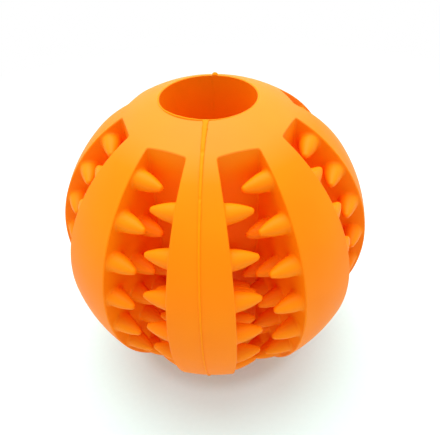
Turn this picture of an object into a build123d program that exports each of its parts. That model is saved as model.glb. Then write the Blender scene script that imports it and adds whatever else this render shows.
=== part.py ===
from build123d import *
import os
from math import acos, asin, atan2, cos, degrees, sin, sqrt

# Ribbed chew ball with a treat bore, moulded in rubber as two equal halves.
# Origin at the ball's centre, +Z up along the bore, -Y at the front, halves meeting on x = 0.

# Ball and treat bore
BALL_DIAMETER = 70.0
BORE_DIAMETER = 19.5
RIM_LAND = 0.5  # width of the flat ring round each mouth, which the ball stands on
CORE_WALL = 7.25  # rubber between the bore and the slot floors

# Slots, cut in from the ball's surface to flat floors round the bore
SLOTS_PER_HALF = 4
SLOT_MOUTH_WIDTH = 13.75  # across the slot at the ball's surface
SLOT_FLOOR_WIDTH = 7.7
SEAM_WALL_SHIFT = 0.3  # a slot's wall beside a seam stands this much nearer to it
FLOOR_CORNER_RADIUS = 0.5
MOUTH_EDGE_RADIUS = 0.25

# Teeth, in three tiers from the mouth of the slot to its floor
TOOTH_LENGTH = 5.45
TOOTH_TIP_RADIUS = 0.7
TOOTH_SIDE_RADIUS = 15.0  # bow of the side, from base to tip
MOUTH_LAND = 0.65  # from an outer tooth's base to the ball's surface
TIER_GAP = 1.6  # between the bases of two tiers
FLOOR_LAND = 1.45  # from a deep tooth's base to the slot's floor
OUTER_TEETH = 8  # in the fuller of the two rows that face each other; the other has one fewer
MIDDLE_TEETH = 5
DEEP_TEETH = 3
OUTER_END_GAP = 0.9  # from the last tooth's base in a tier to the slot's floor
MIDDLE_END_GAP = 2.35
DEEP_END_GAP = 0.35

# Bead of rubber squeezed out along the seam
BEAD_WIDTH = 0.65
BEAD_HEIGHT = 0.25

ball_r = BALL_DIAMETER / 2
bore_r = BORE_DIAMETER / 2
rim_z = sqrt(ball_r**2 - (bore_r + RIM_LAND) ** 2)
slot_pitch = 180 / SLOTS_PER_HALF

# A slot in its own frame: x runs out through its mouth, y across it
floor_y = SLOT_FLOOR_WIDTH / 2
floor_x = bore_r + CORE_WALL
mouth_y = SLOT_MOUTH_WIDTH / 2
mouth_x = sqrt(ball_r**2 - mouth_y**2)
flare = atan2(mouth_y - floor_y, mouth_x - floor_x)
outside_x = BALL_DIAMETER
outside_y = floor_y + (outside_x - floor_x) * sin(flare) / cos(flare)

# Three tiers of teeth fill a wall from the floor's edge, measured along the wall, to the ball's surface
floor_edge = floor_x * cos(flare) + floor_y * sin(flare)
tooth_r = (ball_r - floor_edge - MOUTH_LAND - 2 * TIER_GAP - FLOOR_LAND) / 6
tier_step = TIER_GAP + 2 * tooth_r


def wall_shift(i, side):
    """How much wider slot i is on one side; side -1 is its front wall and +1 its rear wall."""
    beside_seam = (i, side) in ((0, -1), (SLOTS_PER_HALF - 1, 1))
    return SEAM_WALL_SHIFT if beside_seam else 0


def make_slot(i):
    """The cutter for slot i: a flaring prism as tall as the ball, with a flat floor."""
    front = wall_shift(i, -1)
    rear = wall_shift(i, 1)
    corners = [
        (floor_x, floor_y + rear),
        (outside_x, outside_y + rear),
        (outside_x, -outside_y - front),
        (floor_x, -floor_y - front),
    ]
    outline = make_face(Polyline(*corners, close=True).edges())
    floor_corners = outline.vertices().sort_by(Axis.X)[:2]
    outline = fillet(floor_corners, FLOOR_CORNER_RADIUS)
    return extrude(outline, amount=ball_r, both=True)


def make_half():
    """The right half: half of the wall round the bore and the ribs on it, without teeth."""
    ball = Sphere(ball_r) & Box(BALL_DIAMETER, BALL_DIAMETER, 2 * rim_z)
    half = ball & Pos(ball_r / 2, 0, 0) * Box(ball_r, BALL_DIAMETER, BALL_DIAMETER)
    half -= Cylinder(bore_r, BALL_DIAMETER)
    for i in range(SLOTS_PER_HALF):
        half -= Rot(0, 0, slot_azimuth(i) - 90) * make_slot(i)
    return fillet(mouth_edges(half), MOUTH_EDGE_RADIUS)


def slot_azimuth(i):
    """Degrees from the front seam to the middle of slot i."""
    return (i + 0.5) * slot_pitch


def mouth_edges(half):
    """Edges where the slots break through the ball's surface."""
    found = []
    for edge in half.edges():
        points = [edge @ t for t in (0, 0.5, 1)]
        on_ball = all(abs(p.length - ball_r) < 1e-4 for p in points)
        on_seam = all(abs(p.X) < 1e-4 for p in points)
        on_rim = all(abs(abs(p.Z) - rim_z) < 1e-4 for p in points)
        if on_ball and not on_seam and not on_rim:
            found.append(edge)
    return found


def make_tooth():
    """A blunt cone with bowed sides and a round tip, base on z = 0."""
    rim = Vector(tooth_r, 0)
    top = Vector(0, TOOTH_LENGTH)
    tip = Vector(0, TOOTH_LENGTH - TOOTH_TIP_RADIUS)
    # The bow's centre, from which the side runs from the rim into the tip as a tangent
    reach = (tip - rim).length
    bow_to_tip = TOOTH_SIDE_RADIUS - TOOTH_TIP_RADIUS
    step = (TOOTH_SIDE_RADIUS**2 - bow_to_tip**2 + reach**2) / (2 * reach)
    along = (tip - rim).normalized()
    across = Vector(-along.Y, along.X)
    bow = rim + along * step + across * sqrt(TOOTH_SIDE_RADIUS**2 - step**2)
    touch = bow + (tip - bow).normalized() * TOOTH_SIDE_RADIUS
    side = bow + ((rim + touch) / 2 - bow).normalized() * TOOTH_SIDE_RADIUS
    crown = tip + ((touch + top) / 2 - tip).normalized() * TOOTH_TIP_RADIUS
    edges = [
        Line((0, 0), rim),
        ThreePointArc(rim, side, touch),
        ThreePointArc(touch, crown, top),
        Line(top, (0, 0)),
    ]
    profile = make_face([e for line in edges for e in line.edges()])
    return revolve(Plane.XZ * profile, Axis.Z)


def make_tier(level, count, end_gap):
    """Radius and even spread of latitudes of a tier; level 0 is at the mouth of the slot."""
    radius = ball_r - MOUTH_LAND - tooth_r - level * tier_step
    last = acos((floor_edge + end_gap + tooth_r) / radius)
    return radius, [last * (2 * k / (count - 1) - 1) for k in range(count)]


def between(spread):
    """The middles of the gaps in an even spread, for the row that faces it."""
    return [(a + b) / 2 for a, b in zip(spread, spread[1:])]


def tooth_row(tooth, azimuth, side, shift, full):
    """All teeth on one wall of the slot at azimuth; side +1 is the wall further round."""
    turn = Rot(0, 0, azimuth - 90)
    along = Vector(cos(flare), side * sin(flare), 0)
    inward = Vector(sin(flare), -side * cos(flare), 0)
    centre = inward * inward.dot(Vector(floor_x, side * (floor_y + shift), 0))
    teeth = []
    for (radius, spread), fuller in tiers:
        for latitude in spread if full == fuller else between(spread):
            spot = centre + along * (radius * cos(latitude)) + Vector(0, 0, radius * sin(latitude))
            seat = Plane(spot, x_dir=along, z_dir=inward)
            teeth.append(turn * (seat.location * tooth))
    return Compound(children=teeth)


def make_bead(front):
    """A low bead along the seam, from mouth to mouth, seated on the ball's surface."""
    edge_y = sqrt(ball_r**2 - (BEAD_WIDTH / 2) ** 2)
    top = ThreePointArc((-BEAD_WIDTH / 2, edge_y), (0, ball_r + BEAD_HEIGHT), (BEAD_WIDTH / 2, edge_y))
    seat = ThreePointArc((-BEAD_WIDTH / 2, edge_y), (0, ball_r), (BEAD_WIDTH / 2, edge_y))
    section = make_face([*top.edges(), *seat.edges()])
    end = degrees(asin(rim_z / ball_r))
    bead = Rot(-end, 0, 0) * revolve(section, Axis.X, 2 * end)
    bead = bead & Box(BALL_DIAMETER, 2 * BALL_DIAMETER, 2 * rim_z)
    return Rot(0, 0, 180) * bead if front else bead


# Each tier, and whether the row that is fuller in the outer tier is the fuller one here too
tiers = [
    (make_tier(0, OUTER_TEETH, OUTER_END_GAP), True),
    (make_tier(1, MIDDLE_TEETH, MIDDLE_END_GAP), True),
    (make_tier(2, DEEP_TEETH, DEEP_END_GAP), False),
]

half = make_half()
tooth = make_tooth()
nodes = {
    "right_half": half,
    "left_half": Rot(0, 0, 180) * half,
    "front_seam_bead": make_bead(front=True),
    "rear_seam_bead": make_bead(front=False),
}
for hand, sign in (("right", 1), ("left", -1)):
    for i in range(SLOTS_PER_HALF):
        for wall, way in (("front", -1), ("rear", 1)):
            # The fuller row faces the seam that is nearer
            full = (wall == "rear") == (slot_azimuth(i) < 90)
            name = f"{hand}_slot_{i + 1}_{wall}_teeth"
            nodes[name] = tooth_row(tooth, sign * slot_azimuth(i), sign * way, wall_shift(i, way), full)

os.makedirs("parts", exist_ok=True)
for name, shape in nodes.items():
    shape.label = name
    export_step(shape, f"parts/{name}.step")
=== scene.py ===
import math

import bmesh
import bpy
from mathutils import Matrix, Vector, noise


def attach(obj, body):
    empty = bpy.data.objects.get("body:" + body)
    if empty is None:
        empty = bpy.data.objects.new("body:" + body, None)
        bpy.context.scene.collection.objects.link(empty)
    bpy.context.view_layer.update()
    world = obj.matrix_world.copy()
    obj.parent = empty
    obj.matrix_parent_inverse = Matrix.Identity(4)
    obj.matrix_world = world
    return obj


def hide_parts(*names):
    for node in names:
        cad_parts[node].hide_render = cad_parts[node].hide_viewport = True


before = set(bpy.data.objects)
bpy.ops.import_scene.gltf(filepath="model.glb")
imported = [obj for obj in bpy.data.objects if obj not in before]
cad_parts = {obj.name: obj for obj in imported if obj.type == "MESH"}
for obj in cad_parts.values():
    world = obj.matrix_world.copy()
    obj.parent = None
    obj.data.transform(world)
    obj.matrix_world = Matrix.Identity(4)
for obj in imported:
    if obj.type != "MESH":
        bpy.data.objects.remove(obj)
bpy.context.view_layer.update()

# Sizes shared with the solids, in metres
MM = 0.001
BALL_R = 35.0 * MM
BORE_R = 9.75 * MM
RIM_LAND = 0.5 * MM
CORE_WALL = 7.25 * MM
SLOTS_PER_HALF = 4
MOUTH_Y = 6.875 * MM
FLOOR_Y = 3.85 * MM
SEAM_WALL_SHIFT = 0.3 * MM
MOUTH_LAND = 0.65 * MM
TIER_GAP = 1.6 * MM
FLOOR_LAND = 1.45 * MM
MOUTH_ROUND = 0.25 * MM
# Each tier, from the mouth inwards: teeth in its fuller row, gap from the last tooth to the slot's floor,
# and whether the row that is fuller in the outer tier is the fuller one here too
TIERS = [(8, 0.9 * MM, True), (5, 2.35 * MM, True), (3, 0.35 * MM, False)]

RIM_Z = math.sqrt(BALL_R**2 - (BORE_R + RIM_LAND) ** 2)
RIM_LATITUDE = math.asin(RIM_Z / BALL_R)
FLOOR_X = BORE_R + CORE_WALL
MOUTH_X = math.sqrt(BALL_R**2 - MOUTH_Y**2)
FLARE = math.atan2(MOUTH_Y - FLOOR_Y, MOUTH_X - FLOOR_X)
FLOOR_EDGE = FLOOR_X * math.cos(FLARE) + FLOOR_Y * math.sin(FLARE)
TOOTH_R = (BALL_R - FLOOR_EDGE - MOUTH_LAND - 2 * TIER_GAP - FLOOR_LAND) / (2 * len(TIERS))
TIER_STEP = TIER_GAP + 2 * TOOTH_R
UP = Vector((0.0, 0.0, 1.0))

# How far pieces that lie on the ball reach into it
SUNK = 0.08 * MM

# Fillets where the teeth grow out of their walls
ROOT_RADIUS = 0.55 * MM
ROOT_DRAWN_IN = 0.07 * MM  # how far a tooth's side has drawn in by the fillet's top
ROOT_SIDE_R = TOOTH_R - ROOT_DRAWN_IN
ROOT_AROUND = 48
ROOT_STEPS = 6
# Where a fillet runs on into the wall and into the tooth: (reach, height) from its two ends
ROOT_INTO_WALL = (0.1 * MM, -0.03 * MM)
ROOT_INTO_TOOTH = (-0.07 * MM, 0.15 * MM)

# Section of all ridges of flash, and the distance between their stations
FLASH_STEP = 0.22 * MM
RIDGE_STEPS = 8
EDGE_SHARE = 0.5  # share of the height at which the sides end and the rounded top starts
TOP_POWER = 3  # the higher it is, the flatter the top

# Flash squeezed out along the seam: a fine ridge that grows wide, tall and ragged near the mouths
FLASH_WIDTH = 0.43 * MM
FLASH_HEIGHT = 0.2 * MM
MOUTH_FLASH_WIDTH = 0.7 * MM
MOUTH_FLASH_HEIGHT = 0.08 * MM
MOUTH_FLASH_LENGTH = 9.0 * MM
FLASH_START = 0.3  # share of its height at the bore's edge
FLASH_FOOT = 2.0 * MM  # length over which it runs out towards the floor
# Raggedness of its edges on the rib, what the mouths add to that, and raggedness of its height
FLASH_RAGGED = 0.10
MOUTH_RAGGED = 0.30
HEIGHT_RAGGED = 0.35
# Lengths of the waves of that noise on the left edge, the right edge and the height
LEFT_WAVE = 0.9 * MM
RIGHT_WAVE = 0.7 * MM
HEIGHT_WAVE = 1.3 * MM
# Torn stretches, where noise under a level leaves only a share of the height
TORN_WAVE = 1.7 * MM
TORN_LEVEL = -0.38
TORN_SHARE = 0.45
SEED_STEP = 10.0  # from one kind of noise on a seam to the next
# Per seam: name, side of the ball, seed, sideways drift at the mouths and height of a lump at the upper end
SEAMS = [("front", -1, 1.0, 0.36 * MM, 0.0), ("rear", 1, 2.0, 0.65 * MM, 0.25 * MM)]
# Where the lump's middle is, from the upper end, and how far it spreads from there
END_LUMP_AT = 0.75 * MM
END_LUMP_LENGTH = 0.45 * MM

# Flash on the seams inside the bore
BORE_FLASH_WIDTH = 0.3 * MM
BORE_FLASH_HEIGHT = 0.025 * MM
BORE_EDGE_RAGGED = 0.4
BORE_EDGE_WAVE = 1.1 * MM
BORE_HEIGHT_RAGGED = 0.5
BORE_HEIGHT_WAVE = 2.0 * MM
BORE_SEED_STEP = 5

# Thin lip of flash round the upper mouth, highest at the front left
LIP_WIDTH = 0.42 * MM
LIP_HEIGHT = 0.3 * MM
LIP_AZIMUTH = math.radians(-28.0)
LIP_SPREAD = math.radians(36.0)
LIP_LEAST = 0.12  # share of the height that is left far from the highest place
LIP_NARROW = 0.5  # share of the width that doesn't shrink with the height
LIP_RAGGED = 0.25
LIP_WAVE = 1.5 * MM
LIP_SEED = 3.0

# Rubber: tints from deep to pale, and where they stand on the scale of the drift
BALL_TINTS = [(0.962, 0.217, 0.0008), (0.972, 0.230, 0.001), (0.982, 0.243, 0.0012)]
SEAM_TINTS = [(0.940, 0.235, 0.001), (0.955, 0.252, 0.0012), (0.965, 0.270, 0.0015)]
TINT_STOPS = (0.30, 0.52, 0.74)
BALL_GLOSS = 0.08
SEAM_GLOSS = 0.05
# Noise in the rubber: scale a metre, detail and roughness
DRIFT = (70.0, 2.0, 0.5)
GRAIN = (2600.0, 3.0, 0.6)
WAVE = (160.0, 2.0, 0.5)
SMOOTHEST = 0.40
ROUGHEST = 0.56
# Bumps: strength and depth
GRAIN_BUMP = (0.10, 0.05 * MM)
WAVE_BUMP = (0.10, 0.3 * MM)
# Depth of the ball's skin, under which the rubber is that of a slot or the bore
SKIN = 0.2 * MM
# Painted shade in the slots and the bore: what the colour is multiplied by where it is full, and its least
# share under the skin
PAINTED_SHADE_TINT = (0.88, 1.0, 1.0, 1.0)
SLOT_PAINTED_SHADE = 0.19
# The bore's painted shade is full beside the seams and falls towards this at its sides, until it is as the
# slots' is
BORE_SIDE_PAINTED_SHADE = 0.1
# Pale painted highlight on top of the ball, the heights between which it grows, and its full share on each
# rubber
TOP_HIGHLIGHT = (0.97, 0.85, 0.5, 1.0)
TOP_HIGHLIGHT_FROM = 27.5 * MM
TOP_HIGHLIGHT_TO = 31.0 * MM
BALL_TOP_HIGHLIGHT = 0.04
SEAM_TOP_HIGHLIGHT = 0.0
# Dust: flecks in a share of the cells of a loose grid with so many cells a metre
DUST = (0.98, 0.50, 0.22, 1.0)
DUST_GRID = 170.0
DUST_R = 0.16 * MM
DUST_CELLS = 0.12
DUST_STRENGTH = 0.5

# Camera, fitted to the ball's outline, mouth, rib edges and tooth tips
CAMERA_AT = Vector((8.585, -83.995, 73.476)) * MM
CAMERA_AIM = Vector((1.205, 1.049, 1.11)) * MM
CAMERA_ROLL = 2.409  # degrees
CAMERA_LENS = 37.42  # millimetres, as the sensor is
CAMERA_SENSOR = 36.0
CAMERA_CLIP = 0.005

# Light goes back and forth between the bright walls of a slot many times
LIGHT_BOUNCES = 12
# The room's light grows from low to high along a line that leans back from upright
ROOM_UP = Vector((0.0, 0.42, 0.907))
ROOM_LOW = 0.13
ROOM_HIGH = 1.2
LAMP_AT = Vector((-0.03, 0.12, 0.55))
LAMP_SIZE = 0.6
LAMP_POWER = 3.9
LAMP_COLOUR = (1.0, 0.99, 0.97)
WHITE = (1.0, 1.0, 1.0, 1.0)

# Floor of pale paper: half its width, its noise as in the rubber, and its tints on that noise's scale
FLOOR_HALF = 1.5
FIBRE = (900.0, 4.0, 0.5)
FLOOR_TINTS = [(0.3, (0.74, 0.87, 0.83)), (0.7, (0.76, 0.89, 0.85))]
FLOOR_ROUGHNESS = 0.8
FLOOR_GLOSS = 0.2
# Share of plain white in the floor near the ball, and distances from its centre between which it grows to 1
FLOOR_WHITE_SHARE = 0.3
FLOOR_FADE_FROM = 0.06
FLOOR_FADE_TO = 0.22
# In the contact shadow it is limited to a share that grows from this to 1 between two more distances
CONTACT_SHARE = 0.1
CONTACT_FROM = 0.0405
CONTACT_TO = 0.0495
# Seen directly, the floor is a little cooler than the light that it gives back to the ball
FLOOR_COOLING = (0.89, 1.0, 1.0, 1.0)


# Shader nodes
def node_tree(name):
    """A new material with only its output node; returns (material, tree, output)."""
    material = bpy.data.materials.new(name)
    material.use_nodes = True
    tree = material.node_tree
    tree.nodes.clear()
    return material, tree, tree.nodes.new("ShaderNodeOutputMaterial")


def plug(tree, socket, value):
    """Links another node's output to a socket, or sets the socket to a constant."""
    if isinstance(value, bpy.types.NodeSocket):
        tree.links.new(value, socket)
    else:
        socket.default_value = value


def math_node(tree, operation, *values, clamp=False):
    node = tree.nodes.new("ShaderNodeMath")
    node.operation = operation
    node.use_clamp = clamp
    for socket, value in zip(node.inputs, values):
        plug(tree, socket, value)
    return node.outputs["Value"]


def vector_node(tree, operation, *vectors):
    """The outputs of a vector operation: Value where it gives a number, else Vector."""
    node = tree.nodes.new("ShaderNodeVectorMath")
    node.operation = operation
    for socket, vector in zip(node.inputs, vectors):
        plug(tree, socket, vector)
    return node.outputs


def length_of(tree, vector):
    return vector_node(tree, "LENGTH", vector)["Value"]


def axes(tree, vector):
    """The X, Y and Z outputs of a vector."""
    node = tree.nodes.new("ShaderNodeSeparateXYZ")
    tree.links.new(vector, node.inputs["Vector"])
    return node.outputs


def spread(tree, value, low, high, start=0.0, end=1.0):
    """Maps start..end to low..high, and holds low and high beyond."""
    node = tree.nodes.new("ShaderNodeMapRange")
    node.inputs["From Min"].default_value = start
    node.inputs["From Max"].default_value = end
    plug(tree, node.inputs["To Min"], low)
    plug(tree, node.inputs["To Max"], high)
    tree.links.new(value, node.inputs["Value"])
    return node.outputs["Result"]


def noise_node(tree, vector, scale, detail, roughness):
    node = tree.nodes.new("ShaderNodeTexNoise")
    node.inputs["Scale"].default_value = scale
    node.inputs["Detail"].default_value = detail
    node.inputs["Roughness"].default_value = roughness
    tree.links.new(vector, node.inputs["Vector"])
    return node.outputs["Fac"]


def ramp(tree, value, stops):
    """A colour ramp of (position, colour) stops."""
    node = tree.nodes.new("ShaderNodeValToRGB")
    last_position, _ = stops[-1]
    while len(node.color_ramp.elements) < len(stops):
        node.color_ramp.elements.new(last_position)
    for element, (position, colour) in zip(node.color_ramp.elements, stops):
        element.position = position
        element.color = (*colour, 1.0)
    tree.links.new(value, node.inputs["Fac"])
    return node.outputs["Color"]


def mix_colours(tree, share, one, two, blend="MIX"):
    """Colour one with a share of the constant colour two."""
    node = tree.nodes.new("ShaderNodeMix")
    node.data_type = "RGBA"
    node.blend_type = blend
    tree.links.new(share, node.inputs["Factor"])
    tree.links.new(one, node.inputs["A"])
    node.inputs["B"].default_value = two
    return node.outputs["Result"]


def mix_shaders(tree, share, one, two):
    node = tree.nodes.new("ShaderNodeMixShader")
    tree.links.new(share, node.inputs["Fac"])
    tree.links.new(one, node.inputs[1])
    tree.links.new(two, node.inputs[2])
    return node.outputs["Shader"]


def bump(tree, height, strength, distance, below=None):
    node = tree.nodes.new("ShaderNodeBump")
    node.inputs["Strength"].default_value = strength
    node.inputs["Distance"].default_value = distance
    tree.links.new(height, node.inputs["Height"])
    if below is not None:
        tree.links.new(below, node.inputs["Normal"])
    return node.outputs["Normal"]


def seen_directly(tree):
    """1 for camera, glossy and transmission rays, 0 for those that carry light between surfaces."""
    rays = tree.nodes.new("ShaderNodeLightPath").outputs
    mirrored = math_node(tree, "ADD", rays["Is Glossy Ray"], rays["Is Transmission Ray"])
    return math_node(tree, "ADD", rays["Is Camera Ray"], mirrored, clamp=True)


# Rubber
def painted_bore_shade(tree, place):
    """Share of painted shade on the wall of the bore: 1 beside the seams and less towards the sides; 0 away
    from it.
    """
    flat = vector_node(tree, "MULTIPLY", place, (1.0, 1.0, 0.0))["Vector"]
    wall = math_node(tree, "LESS_THAN", length_of(tree, flat), BORE_R + SUNK)
    aside = math_node(tree, "ABSOLUTE", axes(tree, place)["X"])
    return math_node(tree, "MULTIPLY", wall, spread(tree, aside, 1.0, BORE_SIDE_PAINTED_SHADE, 0.0, BORE_R))


def painted_shade_share(tree, place):
    """Share of painted shade, which darkens the red: most beside the seams in the bore, less in the slots
    and 0 outside.
    """
    inside = math_node(tree, "LESS_THAN", length_of(tree, place), BALL_R - SKIN)
    return math_node(tree, "MAXIMUM", painted_bore_shade(tree, place), spread(tree, inside, 0.0, SLOT_PAINTED_SHADE))


def painted_top_highlight(tree, place, share):
    """Share of the pale painted highlight, which grows towards the top of the outer surface; 0 in the
    slots.
    """
    top = spread(tree, axes(tree, place)["Z"], 0.0, share, TOP_HIGHLIGHT_FROM, TOP_HIGHLIGHT_TO)
    outside = math_node(tree, "GREATER_THAN", length_of(tree, place), BALL_R - SKIN)
    return math_node(tree, "MULTIPLY", top, outside)


def dust(tree, place):
    """Share of dust: small round flecks, one at the heart of some cells of the loose grid."""
    cells = tree.nodes.new("ShaderNodeTexVoronoi")
    cells.inputs["Scale"].default_value = DUST_GRID
    tree.links.new(place, cells.inputs["Vector"])
    draw = tree.nodes.new("ShaderNodeSeparateColor")
    tree.links.new(cells.outputs["Color"], draw.inputs["Color"])
    near = math_node(tree, "LESS_THAN", cells.outputs["Distance"], DUST_R * DUST_GRID)
    picked = math_node(tree, "LESS_THAN", draw.outputs["Red"], DUST_CELLS)
    return spread(tree, math_node(tree, "MULTIPLY", near, picked), 0.0, DUST_STRENGTH)


def rubber(name, tints, gloss, highlight_share):
    """Satin moulded rubber: drifting tint, painted shade inside, a painted pale highlight on top, dust,
    mould grain and waviness.
    """
    material, tree, output = node_tree(name)
    place = tree.nodes.new("ShaderNodeTexCoord").outputs["Object"]
    drift = noise_node(tree, place, *DRIFT)
    grain = noise_node(tree, place, *GRAIN)
    wave = noise_node(tree, place, *WAVE)
    colour = ramp(tree, drift, list(zip(TINT_STOPS, tints)))
    # Painted shade: the red is darkened in the slots and the bore
    colour = mix_colours(tree, painted_shade_share(tree, place), colour, PAINTED_SHADE_TINT, "MULTIPLY")
    # Painted highlight: the colour turns paler towards the top of the outer surface
    colour = mix_colours(tree, painted_top_highlight(tree, place, highlight_share), colour, TOP_HIGHLIGHT)
    colour = mix_colours(tree, dust(tree, place), colour, DUST)
    shader = tree.nodes.new("ShaderNodeBsdfPrincipled")
    tree.links.new(colour, shader.inputs["Base Color"])
    tree.links.new(spread(tree, grain, SMOOTHEST, ROUGHEST), shader.inputs["Roughness"])
    shader.inputs["Specular IOR Level"].default_value = gloss
    fine = bump(tree, grain, *GRAIN_BUMP)
    tree.links.new(bump(tree, wave, *WAVE_BUMP, fine), shader.inputs["Normal"])
    tree.links.new(shader.outputs["BSDF"], output.inputs["Surface"])
    return material


def paint(obj, material):
    obj.data.materials.clear()
    obj.data.materials.append(material)


# Pieces on the ball
def add_piece(name, strips, rounded, loop, slot):
    """A piece of closed strips, each a list of sections, which are rings of points of equal count.

    The first sides of each section, as many as are rounded, are shaded smooth and all else flat.
    """
    points, smooth, flat = [], [], []
    for sections in strips:
        first = len(points)
        count = len(sections)
        size = len(sections[0])
        for section in sections:
            points.extend(section)
        for j in range(count if loop else count - 1):
            here = first + j * size
            there = first + (j + 1) % count * size
            for k in range(size):
                after = (k + 1) % size
                faces = smooth if k < rounded else flat
                faces.append((here + k, there + k, there + after, here + after))
        if not loop:
            last = first + (count - 1) * size
            flat.append(tuple(range(first, first + size)))
            flat.append(tuple(range(last, last + size)))
    mesh = bpy.data.meshes.new(name)
    mesh.from_pydata([tuple(p) for p in points], [], smooth + flat)
    shape = bmesh.new()
    shape.from_mesh(mesh)
    bmesh.ops.recalc_face_normals(shape, faces=shape.faces)
    shape.to_mesh(mesh)
    shape.free()
    for face in mesh.polygons:
        face.use_smooth = face.index < len(smooth)
    obj = bpy.data.objects.new(name, mesh)
    bpy.context.scene.collection.objects.link(obj)
    paint(obj, RUBBERS[slot])
    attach(obj, "root")
    return obj


def tier_latitudes(level, fuller_row):
    """Radius of a tier and the latitudes of its teeth on one wall."""
    count, end_gap, fuller_in_outer = TIERS[level]
    radius = BALL_R - MOUTH_LAND - TOOTH_R - level * TIER_STEP
    last = math.acos((FLOOR_EDGE + end_gap + TOOTH_R) / radius)
    spots = [last * (2 * k / (count - 1) - 1) for k in range(count)]
    if fuller_row != fuller_in_outer:
        spots = [(a + b) / 2 for a, b in zip(spots, spots[1:])]
    return radius, spots


def root_profile(width):
    """A fillet's (reach, height) points, from the wall up into the tooth and back under it."""
    profile = [(width + ROOT_INTO_WALL[0], ROOT_INTO_WALL[1])]
    for k in range(ROOT_STEPS + 1):
        bend = math.pi / 2 * k / ROOT_STEPS
        profile.append((width * (1 - math.sin(bend)), ROOT_RADIUS * (1 - math.cos(bend))))
    profile.append((ROOT_INTO_TOOTH[0], ROOT_RADIUS + ROOT_INTO_TOOTH[1]))
    profile.append((ROOT_INTO_TOOTH[0], -SUNK))
    return profile


def tooth_roots(name, azimuth, side, shift, fuller_row):
    """Fillets round the feet of all teeth on one slot wall, cut short at the slot's rounded mouth."""
    turn = Matrix.Rotation(math.radians(azimuth) - math.pi / 2, 3, "Z")
    along = Vector((math.cos(FLARE), side * math.sin(FLARE), 0.0))
    inward = Vector((math.sin(FLARE), -side * math.cos(FLARE), 0.0))
    centre = inward * inward.dot(Vector((FLOOR_X, side * (FLOOR_Y + shift), 0.0)))
    wall_r = math.sqrt(BALL_R**2 - centre.length_squared) - MOUTH_ROUND
    roots = []
    for level in range(len(TIERS)):
        radius, spots = tier_latitudes(level, fuller_row)
        for latitude in spots:
            outward = along * math.cos(latitude) + UP * math.sin(latitude)
            sideways = UP * math.cos(latitude) - along * math.sin(latitude)
            sections = []
            for j in range(ROOT_AROUND):
                angle = 2 * math.pi * j / ROOT_AROUND
                way = outward * math.cos(angle) + sideways * math.sin(angle)
                across = radius * math.sin(angle)
                room = math.sqrt(wall_r**2 - across**2) - radius * math.cos(angle) - ROOT_SIDE_R
                section = []
                for reach, height in root_profile(min(ROOT_RADIUS, room)):
                    spot = outward * radius + way * (ROOT_SIDE_R + reach) + inward * height
                    section.append(turn @ (centre + spot))
                sections.append(section)
            roots.append(sections)
    # Rounded are the fillet's own steps and the two where it runs on into the wall and the tooth
    add_piece(name, roots, ROOT_STEPS + 2, True, "ball_rubber")


def add_ridge(name, stations, slot, loop=False):
    """A closed strip with a rounded top; a station is (point, up, left edge, right edge, height)."""
    sections = []
    for point, up, left, right, height in stations:
        section = []
        for k in range(RIDGE_STEPS + 1):
            across = 2 * k / RIDGE_STEPS - 1
            rise = height * (1 - (1 - EDGE_SHARE) * abs(across) ** TOP_POWER)
            section.append(point + left.lerp(right, k / RIDGE_STEPS) + up * rise)
        section.append(point + right - up * SUNK)
        section.append(point + left - up * SUNK)
        sections.append(section)
    return add_piece(name, [sections], RIDGE_STEPS, loop, slot)


def waver(run, wavelength, seed):
    """Smooth noise from -1 to 1 along a run."""
    return noise.noise(Vector((run / wavelength, seed, 0.0)))


def seam_flash(name, node, facing, seed, drift, end_lump):
    """The ragged ridge along one seam, from the flat ring at the upper mouth down the rib to the floor."""
    spine = []
    land_steps = math.ceil(RIM_LAND / FLASH_STEP)
    for k in range(land_steps):
        from_axis = BORE_R + RIM_LAND * k / land_steps
        spine.append((Vector((0.0, facing * from_axis, RIM_Z)), UP))
    rib_steps = math.ceil(2 * RIM_LATITUDE * BALL_R / FLASH_STEP)
    for k in range(rib_steps + 1):
        latitude = RIM_LATITUDE * (1 - 2 * k / rib_steps)
        up = Vector((0.0, facing * math.cos(latitude), math.sin(latitude)))
        spine.append((up * BALL_R, up))

    stations = []
    for k, (point, up) in enumerate(spine):
        run = k * FLASH_STEP
        left_over = (len(spine) - 1 - k) * FLASH_STEP
        near = math.exp(-min(run, left_over) / MOUTH_FLASH_LENGTH)
        ragged = FLASH_RAGGED + MOUTH_RAGGED * near
        half = (FLASH_WIDTH + MOUTH_FLASH_WIDTH * near) / 2
        shift = drift * near
        left = shift - half * (1 + ragged * waver(run, LEFT_WAVE, seed))
        right = shift + half * (1 + ragged * waver(run, RIGHT_WAVE, seed + SEED_STEP))
        height = FLASH_HEIGHT + MOUTH_FLASH_HEIGHT * near
        height *= 1 + HEIGHT_RAGGED * waver(run, HEIGHT_WAVE, seed + 2 * SEED_STEP)
        if waver(run, TORN_WAVE, seed + 3 * SEED_STEP) < TORN_LEVEL:
            height *= TORN_SHARE
        height *= min(1.0, FLASH_START + run / RIM_LAND) * min(1.0, left_over / FLASH_FOOT)
        height += end_lump * math.exp(-(((run - END_LUMP_AT) / END_LUMP_LENGTH) ** 2))
        stations.append((point, up, Vector((left, 0.0, 0.0)), Vector((right, 0.0, 0.0)), height))
    flash = add_ridge(name, stations, "seam_rubber")
    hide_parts(node)


def bore_flash(name, facing):
    """The seam inside the bore: a very low ridge from mouth to mouth."""
    stations = []
    steps = math.ceil(2 * RIM_Z / FLASH_STEP)
    for k in range(steps + 1):
        z = RIM_Z * (1 - 2 * k / steps)
        edge = 1 + BORE_EDGE_RAGGED * waver(z, BORE_EDGE_WAVE, facing)
        swell = 1 + BORE_HEIGHT_RAGGED * waver(z, BORE_HEIGHT_WAVE, facing + BORE_SEED_STEP)
        side = Vector((BORE_FLASH_WIDTH / 2 * edge, 0.0, 0.0))
        point = Vector((0.0, facing * BORE_R, z))
        stations.append((point, Vector((0.0, -facing, 0.0)), -side, side, BORE_FLASH_HEIGHT * swell))
    add_ridge(name, stations, "ball_rubber")


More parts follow.
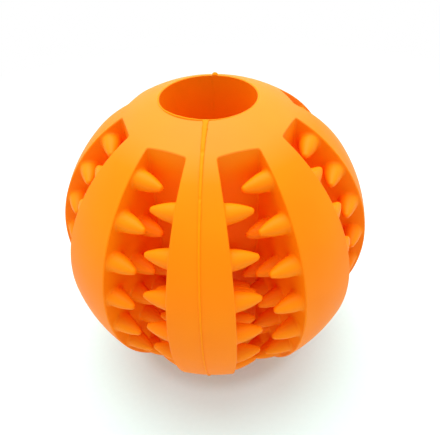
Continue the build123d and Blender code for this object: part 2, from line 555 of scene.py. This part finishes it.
def mouth_lip(name):
    """A thin uneven lip of flash on the flat ring round the upper mouth."""
    stations = []
    steps = math.ceil(2 * math.pi * BORE_R / FLASH_STEP)
    for k in range(steps):
        azimuth = 2 * math.pi * k / steps
        away = (azimuth - LIP_AZIMUTH + math.pi) % (2 * math.pi) - math.pi
        share = LIP_LEAST + (1 - LIP_LEAST) * math.exp(-((away / LIP_SPREAD) ** 2))
        out = Vector((math.sin(azimuth), -math.cos(azimuth), 0.0))
        half = LIP_WIDTH / 2 * (LIP_NARROW + (1 - LIP_NARROW) * share)
        # The run comes back to 0 after one turn, so that the lip's end meets its start
        run = azimuth * BORE_R * math.sin(azimuth / 2)
        rise = LIP_HEIGHT * share * (1 + LIP_RAGGED * waver(run, LIP_WAVE, LIP_SEED))
        point = out * (BORE_R + LIP_WIDTH / 2) + UP * RIM_Z
        stations.append((point, UP, -out * half, out * half, rise))
    add_ridge(name, stations, "seam_rubber", loop=True)


# Stage
def floor_paper():
    """Pale paper, white from afar and clear from below."""
    material, tree, output = node_tree("floor_paper")
    place = tree.nodes.new("ShaderNodeTexCoord").outputs["Object"]
    seen = seen_directly(tree)
    tint = ramp(tree, noise_node(tree, place, *FIBRE), FLOOR_TINTS)
    paper = tree.nodes.new("ShaderNodeBsdfPrincipled")
    tree.links.new(mix_colours(tree, seen, tint, FLOOR_COOLING, "MULTIPLY"), paper.inputs["Base Color"])
    paper.inputs["Roughness"].default_value = FLOOR_ROUGHNESS
    paper.inputs["Specular IOR Level"].default_value = FLOOR_GLOSS
    # The floor's white is only seen: the object gets no more than the light that falls on the floor
    white = tree.nodes.new("ShaderNodeEmission")
    white.inputs["Color"].default_value = WHITE
    away = length_of(tree, place)
    fade = spread(tree, away, FLOOR_WHITE_SHARE, 1.0, FLOOR_FADE_FROM, FLOOR_FADE_TO)
    contact = spread(tree, away, CONTACT_SHARE, 1.0, CONTACT_FROM, CONTACT_TO)
    share = math_node(tree, "MULTIPLY", math_node(tree, "MINIMUM", fade, contact), seen)
    surface = mix_shaders(tree, share, paper.outputs["BSDF"], white.outputs["Emission"])
    clear = tree.nodes.new("ShaderNodeBsdfTransparent")
    below = tree.nodes.new("ShaderNodeNewGeometry").outputs["Backfacing"]
    surface = mix_shaders(tree, below, surface, clear.outputs["BSDF"])
    tree.links.new(surface, output.inputs["Surface"])
    return material


def make_floor():
    corners = [(-1, -1), (1, -1), (1, 1), (-1, 1)]
    points = [(x * FLOOR_HALF, y * FLOOR_HALF, -RIM_Z) for x, y in corners]
    mesh = bpy.data.meshes.new("floor")
    mesh.from_pydata(points, [], [tuple(range(len(points)))])
    floor = bpy.data.objects.new("floor", mesh)
    bpy.context.scene.collection.objects.link(floor)
    paint(floor, floor_paper())


def make_room():
    """A white room, dimmer low down and towards the viewer."""
    world = bpy.data.worlds.new("room")
    bpy.context.scene.world = world
    world.use_nodes = True
    tree = world.node_tree
    sky = tree.nodes["Background"]
    sky.inputs["Color"].default_value = WHITE
    way = tree.nodes.new("ShaderNodeTexCoord").outputs["Generated"]
    lean = vector_node(tree, "DOT_PRODUCT", way, ROOM_UP)["Value"]
    level = spread(tree, lean, ROOM_LOW, ROOM_HIGH, -1.0)
    # Seen directly, the room is plain white
    tree.links.new(spread(tree, seen_directly(tree), level, 1.0), sky.inputs["Strength"])


def make_lamp():
    """One large soft lamp above, aimed at the ball's centre."""
    data = bpy.data.lights.new("lamp", "AREA")
    data.shape = "DISK"
    data.size = LAMP_SIZE
    data.energy = LAMP_POWER
    data.color = LAMP_COLOUR
    lamp = bpy.data.objects.new("lamp", data)
    lamp.location = LAMP_AT
    lamp.rotation_mode = "QUATERNION"
    lamp.rotation_quaternion = (-LAMP_AT).to_track_quat("-Z", "Y")
    bpy.context.scene.collection.objects.link(lamp)


def make_camera():
    data = bpy.data.cameras.new("camera")
    data.lens = CAMERA_LENS
    data.sensor_fit = "HORIZONTAL"
    data.sensor_width = CAMERA_SENSOR
    data.clip_start = CAMERA_CLIP
    camera = bpy.data.objects.new("camera", data)
    turn = (CAMERA_AIM - CAMERA_AT).to_track_quat("-Z", "Y").to_matrix()
    turn = turn @ Matrix.Rotation(math.radians(-CAMERA_ROLL), 3, "Z")
    camera.matrix_world = Matrix.Translation(CAMERA_AT) @ turn.to_4x4()
    bpy.context.scene.collection.objects.link(camera)
    bpy.context.scene.camera = camera


RUBBERS = {
    "ball_rubber": rubber("ball_rubber", BALL_TINTS, BALL_GLOSS, BALL_TOP_HIGHLIGHT),
    "seam_rubber": rubber("seam_rubber", SEAM_TINTS, SEAM_GLOSS, SEAM_TOP_HIGHLIGHT),
}
for name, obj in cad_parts.items():
    paint(obj, RUBBERS["seam_rubber" if "bead" in name else "ball_rubber"])

for hand, sign in (("right", 1), ("left", -1)):
    for i in range(SLOTS_PER_HALF):
        azimuth = (i + 0.5) * 180 / SLOTS_PER_HALF
        for wall, way in (("front", -1), ("rear", 1)):
            fuller_row = (wall == "rear") == (azimuth < 90)
            beside_seam = (i, wall) in ((0, "front"), (SLOTS_PER_HALF - 1, "rear"))
            shift = SEAM_WALL_SHIFT if beside_seam else 0.0
            tooth_roots(f"{hand}_slot_{i + 1}_{wall}_roots", sign * azimuth, sign * way, shift, fuller_row)
for end, facing, seed, drift, end_lump in SEAMS:
    seam_flash(f"{end}_seam_flash", f"{end}_seam_bead", facing, seed, drift, end_lump)
bore_flash("front_bore_flash", -1)
bore_flash("rear_bore_flash", 1)
mouth_lip("upper_mouth_lip")

make_floor()
make_room()
make_lamp()
make_camera()
bpy.context.scene.view_settings.view_transform = "Standard"
bpy.context.scene.cycles.diffuse_bounces = LIGHT_BOUNCES
